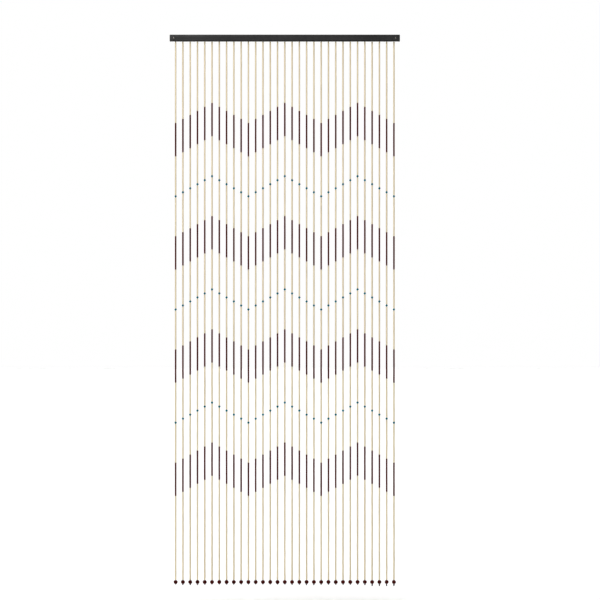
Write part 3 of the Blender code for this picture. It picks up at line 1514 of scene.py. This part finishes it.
@dataclass
class SmallBeads:
    """The small teal beads of the zigzag's thin lines."""

    shape: BeadShape = field(
        default_factory=lambda: BeadShape(
            name="small_bead", radius=0.004, bore=0.0011, segments=16, rings=8, lip=0.00025
        )
    )
    finish: LacquerFinish = TEAL_LACQUER
    seed: int = 31
    play: float = 0.015

    def build(self, strands: Sequence[Strand]) -> None:
        """Thread the beads on all the cords and install them.

        Args:
            strands: The strands.
        """
        pattern = self.shape.model()
        piece = JoinedPiece("small_beads")
        draw = random.Random(self.seed)
        for strand in strands:
            for height in strand.small_beads:
                centre = Vector((strand.x, strand.y, height))
                points, from_rim = self.shape.place(pattern, centre, draw, self.play)
                tone = draw.uniform(-TONE_PLAY, TONE_PLAY)
                piece.add(points, pattern.faces, tone=tone, from_end=from_rim)
        install(piece.build(), self.finish, "strands")


@dataclass
class EndBeads:
    """The round dark red bead at the foot of each strand, a piece of its own each."""

    shape: BeadShape = field(
        default_factory=lambda: BeadShape(
            name="end_bead", radius=0.0075, bore=0.0016, segments=32, rings=20, lip=0.0004
        )
    )
    finish: LacquerFinish = RED_LACQUER
    seed: int = 7
    play: float = 0.008

    def build(self, strands: Sequence[Strand], nodes: Sequence[str]) -> None:
        """Model the bead, copy it to each strand and install the copies.

        Args:
            strands: The strands.
            nodes: The CAD nodes of their end beads, in the same order.
        """
        pattern = self.shape.model()
        draw = random.Random(self.seed)
        for strand, node in zip(strands, nodes, strict=True):
            piece = JoinedPiece(f"turned_bead_{strand.number:02d}")
            centre = Vector((strand.x, strand.y, strand.end_bead))
            points, from_rim = self.shape.place(pattern, centre, draw, self.play)
            tone = draw.uniform(-TONE_PLAY, TONE_PLAY)
            piece.add(points, pattern.faces, tone=tone, from_end=from_rim)
            install(piece.build(), self.finish, node)


@dataclass
class Cords:
    """The strands' cords, laid of two plies, with a knot and two cut ends under each bead."""

    radius: float = 0.0008
    knot_radius: float = 0.00128
    end_radius: float = 0.00095
    end_flare: float = 0.3
    sides: int = 10
    ply_depth: float = 0.2
    lay: float = 0.0044
    ring_step: float = 0.00055
    knot_half_width: float = 0.0036
    knot_rise: float = 0.00096
    knot_steps: int = 56
    knot_share: float = 0.9
    knot_trim: float = 0.25
    end_roots: float = 0.0007
    end_spread: float = 0.0013
    end_spread_play: tuple[float, float] = (0.85, 1.0)
    end_lean: float = 0.5
    shorter_end: tuple[float, float] = (0.86, 0.98)
    end_steps: int = 5
    bore_mouth: float = 0.00733
    knot_gap: float = 0.0003
    finish: CordFinish = field(default_factory=CordFinish)
    seed: int = 5

    def build(self, strands: Sequence[Strand]) -> None:
        """Sweep every cord and install them as one piece.

        Args:
            strands: The strands.
        """
        piece = JoinedPiece("knotted_cords")
        draw = random.Random(self.seed)
        for strand in strands:
            under_bead = strand.end_bead - self.bore_mouth - self.knot_gap
            turn = Matrix.Rotation(draw.uniform(0.0, math.tau), 3, "Z")
            route = [*self.straight(strand), *self.knot(under_bead, turn)]
            rings = self.sweep(route, strand)
            # A knot that shows less than its natural height is pressed flat under the bead
            natural = 2 * (self.knot_rise + self.knot_radius)
            pressed = min(natural, self.knot_share * strand.knot_length)
            depth = np.clip(under_bead - rings[:, 2], 0.0, natural)
            rings[:, 2] += depth * (1 - pressed / natural)
            self.add_tube(piece, rings)
            knot_middle = under_bead - pressed / 2
            lowest = under_bead - strand.knot_length
            for side in (-1, 1):
                end = self.cut_end(knot_middle, lowest, side, draw)
                self.add_tube(piece, self.sweep(end, strand))
        install(piece.build(), self.finish, "strands")

    def straight(self, strand: Strand) -> list[tuple[Vector, float, float]]:
        """Run the cord down from the rail to inside the end bead, finely where it shows.

        Args:
            strand: The strand.

        Returns:
            Places with the radius and the twist there.
        """
        below_bead = strand.end_bead + self.bore_mouth / 2
        shown = [
            Span(strand.root, strand.naturals[0].top - self.radius),
            Span(strand.naturals[-1].bottom + self.radius, below_bead),
        ]
        route = []
        twist = 0.0
        for span in shown:
            steps = max(1, round((span.top - span.bottom) / self.ring_step))
            for index in range(steps + 1):
                height = span.top + (span.bottom - span.top) * index / steps
                route.append((Vector((0.0, 0.0, height)), self.radius, twist))
                if index < steps:
                    twist += math.tau * (span.top - span.bottom) / steps / self.lay
        return route

    def knot(self, top: float, turn: Matrix) -> list[tuple[Vector, float, float]]:
        """Tie a tight overhand knot under the bead.

        Args:
            top: The height of its top.
            turn: How it is turned about the strand.

        Returns:
            Places with the radius and the twist there.
        """
        middle = top - self.knot_rise - self.knot_radius
        points = [Vector((0.0, 0.0, top + self.bore_mouth / 2)), Vector((0.0, 0.0, top))]
        # An open trefoil, 3 units in half width, from its highest crossing to its lowest
        unit = (self.knot_half_width - self.knot_radius) / 3
        first = math.pi / 2 + self.knot_trim
        last = math.tau + math.pi / 6 - self.knot_trim
        for index in range(self.knot_steps + 1):
            t = first + (last - first) * index / self.knot_steps
            x = unit * (math.sin(t) + 2 * math.sin(2 * t))
            y = unit * (math.cos(t) - 2 * math.cos(2 * t))
            points.append(Vector((x, y, middle - self.knot_rise * math.sin(3 * t))))
        points.append(Vector((0.0, 0.0, middle - self.knot_rise)))
        route = []
        twist = 0.0
        for index, point in enumerate(points):
            if index:
                twist += math.tau * (point - points[index - 1]).length / self.lay
            radius = self.radius if index < 2 else self.knot_radius
            route.append((turn @ point, radius, twist))
        return route

    def cut_end(
        self, top: float, lowest: float, side: int, draw: random.Random
    ) -> list[tuple[Vector, float, float]]:
        """Let one ply hang out of the knot, where the cord was cut off.

        Args:
            top: The height in the knot where the plies part.
            lowest: The lowest point of the longer end.
            side: -1 for the left ply, 1 for the right one.
            draw: The seeded source of unevenness.

        Returns:
            Places with the radius and the twist there.
        """
        reach = top - lowest
        if side > 0:
            reach *= draw.uniform(*self.shorter_end)
        spread = self.end_spread * draw.uniform(*self.end_spread_play)
        lean = draw.uniform(-self.end_lean, self.end_lean) * spread
        route = []
        for index in range(self.end_steps + 1):
            share = index / self.end_steps
            out = side * (self.end_roots + (spread - self.end_roots) * share**2)
            point = Vector((out, lean * share, top - reach * share))
            radius = self.end_radius * (1 + self.end_flare * share)
            route.append((point, radius, side * share * reach / self.lay))
        return route

    def sweep(
        self, route: Sequence[tuple[Vector, float, float]], strand: Strand
    ) -> np.ndarray:
        """Sweep the two-ply section along a route.

        Args:
            route: Places with the radius and the twist there.
            strand: The strand that it belongs to.

        Returns:
            The points, ring after ring.
        """
        angles = np.arange(self.sides) * math.tau / self.sides
        side = Vector((1.0, 0.0, 0.0))
        rings = []
        for index, (point, radius, twist) in enumerate(route):
            ahead = route[min(index + 1, len(route) - 1)][0]
            behind = route[max(index - 1, 0)][0]
            along = (ahead - behind).normalized()
            side = (side - along * side.dot(along)).normalized()
            other = along.cross(side)
            reach = radius * (1 - self.ply_depth * (0.5 - 0.5 * np.cos(2 * angles)))
            across = np.cos(angles + twist)[:, None] * np.array(side)
            across = across + np.sin(angles + twist)[:, None] * np.array(other)
            rings.append(np.array(point) + reach[:, None] * across)
        return np.concatenate(rings) + np.array([strand.x, strand.y, 0.0])

    def add_tube(self, piece: JoinedPiece, points: np.ndarray) -> None:
        """Close swept rings to a solid length of cord, its last ring marked as the cut face.

        Args:
            piece: The piece that takes it.
            points: The rings' points.
        """
        faces = []
        for start in range(0, len(points) - self.sides, self.sides):
            below = start + self.sides
            for index in range(self.sides):
                after = (index + 1) % self.sides
                faces.append((start + index, start + after, below + after, below + index))
        last = len(points) - self.sides
        faces.append(tuple(reversed(range(self.sides))))
        faces.append(tuple(range(last, len(points))))
        cut = np.zeros(len(points))
        cut[last:] = 1.0
        piece.add(points, faces, cut=cut)


# Rail and what is fixed to it


@dataclass
class Rail:
    """The painted batten, its groove, the strip that holds the cords, and its screw holes."""

    edge: float = 0.0012
    edge_steps: int = 4
    strip_length: float = 0.860
    strip_depth: float = 0.006
    strip_height: float = 0.003
    strip_recess: float = 0.0005
    strip_edge: float = 0.0004
    clearance: float = 0.0003
    cord_hole: float = 0.0011
    screw_from_end: float = 0.016
    screw_hole: float = 0.0023
    hole_sides: int = 24
    reach: float = 0.001

    def __post_init__(self) -> None:
        """Read the batten's box from the frame."""
        self.low, self.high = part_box("rail")
        self.size = self.high - self.low
        self.centre = (self.low + self.high) / 2
        self.finish = RailPaintFinish(half_size=tuple(self.size / 2), centre=tuple(self.centre))

    def build(self, strands: Sequence[Strand]) -> None:
        """Model and install the batten and the strip.

        Args:
            strands: The strands that hang from the strip.
        """
        install(self.batten(), self.finish, "rail")
        install(self.strip(strands), self.finish, "strands")

    def screw_places(self) -> list[Vector]:
        """Give the middles of the two screw holes in the batten's front face."""
        inset = self.screw_from_end
        return [
            Vector((self.low.x + inset, self.low.y, self.centre.z)),
            Vector((self.high.x - inset, self.low.y, self.centre.z)),
        ]

    def batten(self) -> bpy.types.Object:
        """Model the batten: a block with broken edges, a sunk groove and two drilled holes.

        Returns:
            The object.
        """
        batten = block("painted_batten", self.size, self.centre)
        with EditMode(batten) as edit:
            edit.pick_all()
            bpy.ops.mesh.bevel(
                offset=self.edge, segments=self.edge_steps, affect="EDGES", clamp_overlap=False
            )
            edit.pick_faces(lambda centre, normal: normal.z < -FACING)
            bpy.ops.mesh.inset(thickness=self.reach)
            flat_length = self.size.x - 2 * (self.edge + self.reach)
            flat_depth = self.size.y - 2 * (self.edge + self.reach)
            bpy.ops.transform.resize(
                value=(
                    (self.strip_length + 2 * self.clearance) / flat_length,
                    (self.strip_depth + 2 * self.clearance) / flat_depth,
                    1.0,
                ),
                center_override=(self.centre.x, self.centre.y, self.low.z),
            )
            rise = self.strip_recess + self.strip_height + self.clearance
            bpy.ops.mesh.extrude_region_move(
                TRANSFORM_OT_translate={"value": (0.0, 0.0, rise)}
            )
        face_outwards(batten)
        cut_with(batten, *(self.hole_cutter(place) for place in self.screw_places()))
        return smooth(batten)

    def hole_cutter(self, place: Vector) -> bpy.types.Object:
        """Add the round cutter of a screw hole, through the batten from front to back.

        Args:
            place: The hole's middle in the front face.

        Returns:
            The cutter.
        """
        return cylinder(
            "screw_hole_cutter",
            self.hole_sides,
            self.screw_hole,
            self.size.y + 2 * self.reach,
            centre=(place.x, self.centre.y, place.z),
            turn=(math.pi / 2, 0.0, 0.0),
        )

    def strip(self, strands: Sequence[Strand]) -> bpy.types.Object:
        """Model the strip in the groove, drilled for each cord.

        Args:
            strands: The strands.

        Returns:
            The object.
        """
        low = self.low.z + self.strip_recess
        middle = low + self.strip_height / 2
        size = (self.strip_length, self.strip_depth, self.strip_height)
        strip = block("cord_strip", size, (0.0, self.centre.y, middle))
        with EditMode(strip) as edit:
            edit.pick_all()
            bpy.ops.mesh.bevel(offset=self.strip_edge, segments=2, affect="EDGES")
        drill = cylinder(
            "cord_hole_cutter",
            self.hole_sides // 2,
            self.cord_hole,
            self.strip_height + 2 * self.reach,
            centre=(strands[0].x, strands[0].y, middle),
        )
        settle(drill)
        row = drill.modifiers.new("row_of_holes", "ARRAY")
        row.count = len(strands)
        row.use_relative_offset = False
        row.use_constant_offset = True
        pitch = (strands[-1].x - strands[0].x) / (len(strands) - 1)
        row.constant_offset_displace = (pitch, 0.0, 0.0)
        apply_modifiers(drill)
        cut_with(strip, drill)
        return smooth(strip)


@dataclass
class Screws:
    """The two round-headed fixing screws with cross recesses."""

    head_radius: float = 0.004
    head_height: float = 0.0024
    rim_height: float = 0.0006
    shank_radius: float = 0.002
    seat: float = 0.0003
    sides: int = 32
    dome_steps: int = 5
    recess_length: float = 0.0044
    recess_width: float = 0.0009
    recess_depth: float = 0.0013
    recess_taper: float = 0.55
    cutter_top: float = 1.2
    turn_range: tuple[float, float] = (0.2, 1.2)
    recess_dark_reach: float = 1.02
    recess_dark_floor: float = 0.9
    rim_distance: float = 0.0004
    finish: ScrewFinish = field(default_factory=ScrewFinish)
    seed: int = 3

    def build(self, places: Sequence[Vector], shank_length: float) -> None:
        """Model the screw, copy it to both holes, each turned its own way, and install them.

        Args:
            places: The holes' middles in the batten's front face.
            shank_length: How deep the shank goes.
        """
        pattern = self.model(shank_length)
        draw = random.Random(self.seed)
        stand_up = Matrix.Rotation(math.pi / 2, 3, "X")
        for node, place in zip(("screw_left", "screw_right"), places, strict=True):
            turned = stand_up @ Matrix.Rotation(draw.uniform(*self.turn_range), 3, "Z")
            points = pattern.points @ np.array(turned).T + np.array(place)
            piece = JoinedPiece(f"plated_{node}")
            piece.add(points, pattern.faces, from_end=self.from_recess(pattern))
            install(piece.build(), self.finish, node)

    def from_recess(self, pattern: Pattern) -> np.ndarray:
        """Give each point's distance from where the plating is made darker, in the recess and
        under the rim.

        Args:
            pattern: The modelled screw.

        Returns:
            A distance for each point.
        """
        height = pattern.points[:, 2]
        radial = np.hypot(pattern.points[:, 0], pattern.points[:, 1])
        above = np.maximum(height - self.seat - self.rim_height, 0.0)
        # As far as the recess's arms reach, and up from its floor a little
        arm = self.recess_length / 2 * self.recess_dark_reach
        floor = self.seat + self.head_height - self.recess_depth * self.recess_dark_floor
        in_recess = (radial < arm) & (height < floor)
        return np.where(in_recess, 0.0, np.maximum(above, self.rim_distance))

    def model(self, shank_length: float) -> Pattern:
        """Model the screw upright: rim, dome, shank and recess.

        Args:
            shank_length: How deep the shank goes.

        Returns:
            The pattern.
        """
        screw = cylinder(
            "fixing_screw_model",
            self.sides,
            self.head_radius,
            self.rim_height,
            centre=(0.0, 0.0, self.seat + self.rim_height / 2),
        )
        settle(screw)
        dome_height = self.head_height - self.rim_height
        flat = math.cos(math.pi / self.sides)
        with EditMode(screw) as edit:
            edit.pick_faces(lambda centre, normal: normal.z > FACING)
            radius, height = self.head_radius, 0.0
            for step in range(1, self.dome_steps + 1):
                angle = math.pi / 2 * step / (self.dome_steps + 1)
                next_radius = self.head_radius * math.cos(angle)
                next_height = dome_height * math.sin(angle)
                bpy.ops.mesh.inset(
                    thickness=(radius - next_radius) * flat, depth=next_height - height
                )
                radius, height = next_radius, next_height
            edit.pick_faces(lambda centre, normal: normal.z < -FACING)
            bpy.ops.mesh.inset(thickness=(self.head_radius - self.shank_radius) * flat)
            bpy.ops.mesh.extrude_region_move(
                TRANSFORM_OT_translate={"value": (0.0, 0.0, -shank_length - self.seat)}
            )
        face_outwards(screw)
        cut_with(screw, self.recess_cutter(0.0), self.recess_cutter(math.pi / 2))
        with EditMode(screw) as edit:
            edit.pick_all()
            bpy.ops.mesh.remove_doubles(threshold=MERGE_DISTANCE)
        return Pattern(screw)

    def recess_cutter(self, angle: float) -> bpy.types.Object:
        """Add a tapered blade that cuts one arm of the recess.

        Args:
            angle: How far it is turned about the screw's axis.

        Returns:
            The cutter.
        """
        top = self.seat + self.cutter_top * self.head_height
        floor = self.seat + self.head_height - self.recess_depth
        size = (self.recess_length, self.recess_width, top - floor)
        blade = block("recess_cutter", size, (0.0, 0.0, (top + floor) / 2))
        with EditMode(blade) as edit:
            edit.pick_faces(lambda centre, normal: normal.z < -FACING)
            bpy.ops.transform.resize(
                value=(self.recess_taper, self.recess_taper, 1.0),
                center_override=(0.0, 0.0, floor),
            )
        blade.rotation_euler = (0.0, 0.0, angle)
        return settle(blade)


# Camera, light and floor


@dataclass(frozen=True)
class PhotoCamera:
    """A long lens, level with the curtain, that frames it as the photograph does."""

    lens_mm: float = 180.0
    sensor_mm: float = 36.0
    view_width: float = 2.3485
    middle_x: float = 0.0595
    middle_z: float = -1.025
    curtain_y: float = -0.010

    def build(self) -> None:
        """Add the camera and make it the scene's."""
        half = self.sensor_mm / 2 / self.lens_mm
        distance = self.view_width / 2 / half
        data = bpy.data.cameras.new("photo_camera")
        data.lens = self.lens_mm
        data.sensor_width = self.sensor_mm
        camera = bpy.data.objects.new("photo_camera", data)
        camera.location = (self.middle_x, self.curtain_y - distance, self.middle_z)
        camera.rotation_euler = (math.pi / 2, 0.0, 0.0)
        bpy.context.scene.collection.objects.link(camera)
        bpy.context.scene.camera = camera
        log.info("camera at %.2f m", distance)


def add_light(data: bpy.types.Light, direction: Vector, place: Triple = (0.0, 0.0, 0.0)) -> None:
    """Add a light to the scene.

    Args:
        data: The light's own settings.
        direction: Where it shines.
        place: Where it stands, if that matters.
    """
    light = bpy.data.objects.new(data.name, data)
    light.location = place
    light.rotation_euler = direction.to_track_quat("-Z", "Y").to_euler()
    bpy.context.scene.collection.objects.link(light)


@dataclass(frozen=True)
class SoftBox:
    """A square area light aimed at a point."""

    name: str
    place: Triple
    aim: Triple
    size: float
    power: float

    def build(self) -> None:
        """Add the light."""
        data = bpy.data.lights.new(self.name, "AREA")
        data.shape = "SQUARE"
        data.size = self.size
        data.energy = self.power
        add_light(data, Vector(self.aim) - Vector(self.place), self.place)


@dataclass(frozen=True)
class SoftSky:
    """Soft light from one direction, as from a large bright ceiling or wall."""

    name: str
    direction: Triple
    strength: float
    spread: float

    def build(self) -> None:
        """Add the light."""
        data = bpy.data.lights.new(self.name, "SUN")
        data.energy = self.strength
        data.angle = self.spread
        add_light(data, Vector(self.direction))


@dataclass(frozen=True)
class Studio:
    """Plain soft light from all round over a pale floor, stronger from above and the left."""

    floor_z: float = -2.205
    floor_size: float = 80.0
    surround: float = 0.3
    print_gamma: float = 0.7
    skies: tuple[SoftSky, ...] = (
        SoftSky("soft_ceiling", (0.3, 0.35, -1.3), 2.7, math.radians(70)),
        SoftSky("soft_back_wall", (-0.2, -1.0, -0.16), 1.0, math.radians(40)),
    )
    boxes: tuple[SoftBox, ...] = (
        SoftBox("left_softbox", (-1.25, -2.3, 0.5), (-0.3, 0.0, -0.3), 0.6, 17.0),
    )

    def build(self) -> None:
        """Add the floor, the surrounding light, the soft skies and the soft boxes."""
        self.floor()
        self.surround_light()
        for light in (*self.skies, *self.boxes):
            light.build()
        view = bpy.context.scene.view_settings
        view.view_transform = "Standard"
        view.gamma = self.print_gamma
        log.info("studio with %d lights", len(self.skies) + len(self.boxes))

    def floor(self) -> None:
        """Add the floor as part of the stage."""
        bpy.ops.object.select_all(action="DESELECT")
        bpy.ops.mesh.primitive_plane_add(size=self.floor_size, location=(0.0, 0.0, self.floor_z))
        floor = settle(newest("studio_floor"))
        floor.data.materials.append(FloorFinish().material())

    def surround_light(self) -> None:
        """Light the scene evenly from all round, before a white ground for the camera."""
        world = bpy.data.worlds.new("studio")
        world.use_nodes = True
        bpy.context.scene.world = world
        sheet = NodeSheet(world.node_tree)
        background = world.node_tree.nodes["Background"]
        seen = sheet.add("ShaderNodeLightPath").outputs["Is Camera Ray"]
        span = sheet.math("MULTIPLY", seen, 1.0 - self.surround)
        sheet.feed(background.inputs["Color"], (1.0, 1.0, 1.0))
        sheet.feed(background.inputs["Strength"], sheet.math("ADD", span, self.surround))


def main() -> None:
    """Build the camera, the dressed curtain piece by piece, and the studio."""
    logging.basicConfig(level=logging.INFO, format="%(name)s: %(message)s")
    PhotoCamera().build()
    layout = StrandLayout()
    strands = layout.strands()
    Cords().build(strands)
    rail = Rail()
    rail.build(strands)
    Screws().build(rail.screw_places(), rail.size.y)
    naturals = TubeSet(name="natural_tubes", finish=NATURAL_TUBE, seed=11)
    naturals.build(strands, lambda strand: strand.naturals)
    darks = TubeSet(name="dark_tubes", finish=DARK_TUBE, seed=23)
    darks.build(strands, lambda strand: strand.darks)
    SmallBeads().build(strands)
    EndBeads().build(strands, layout.bead_nodes())
    Studio().build()


if __name__ == "__main__":
    main()
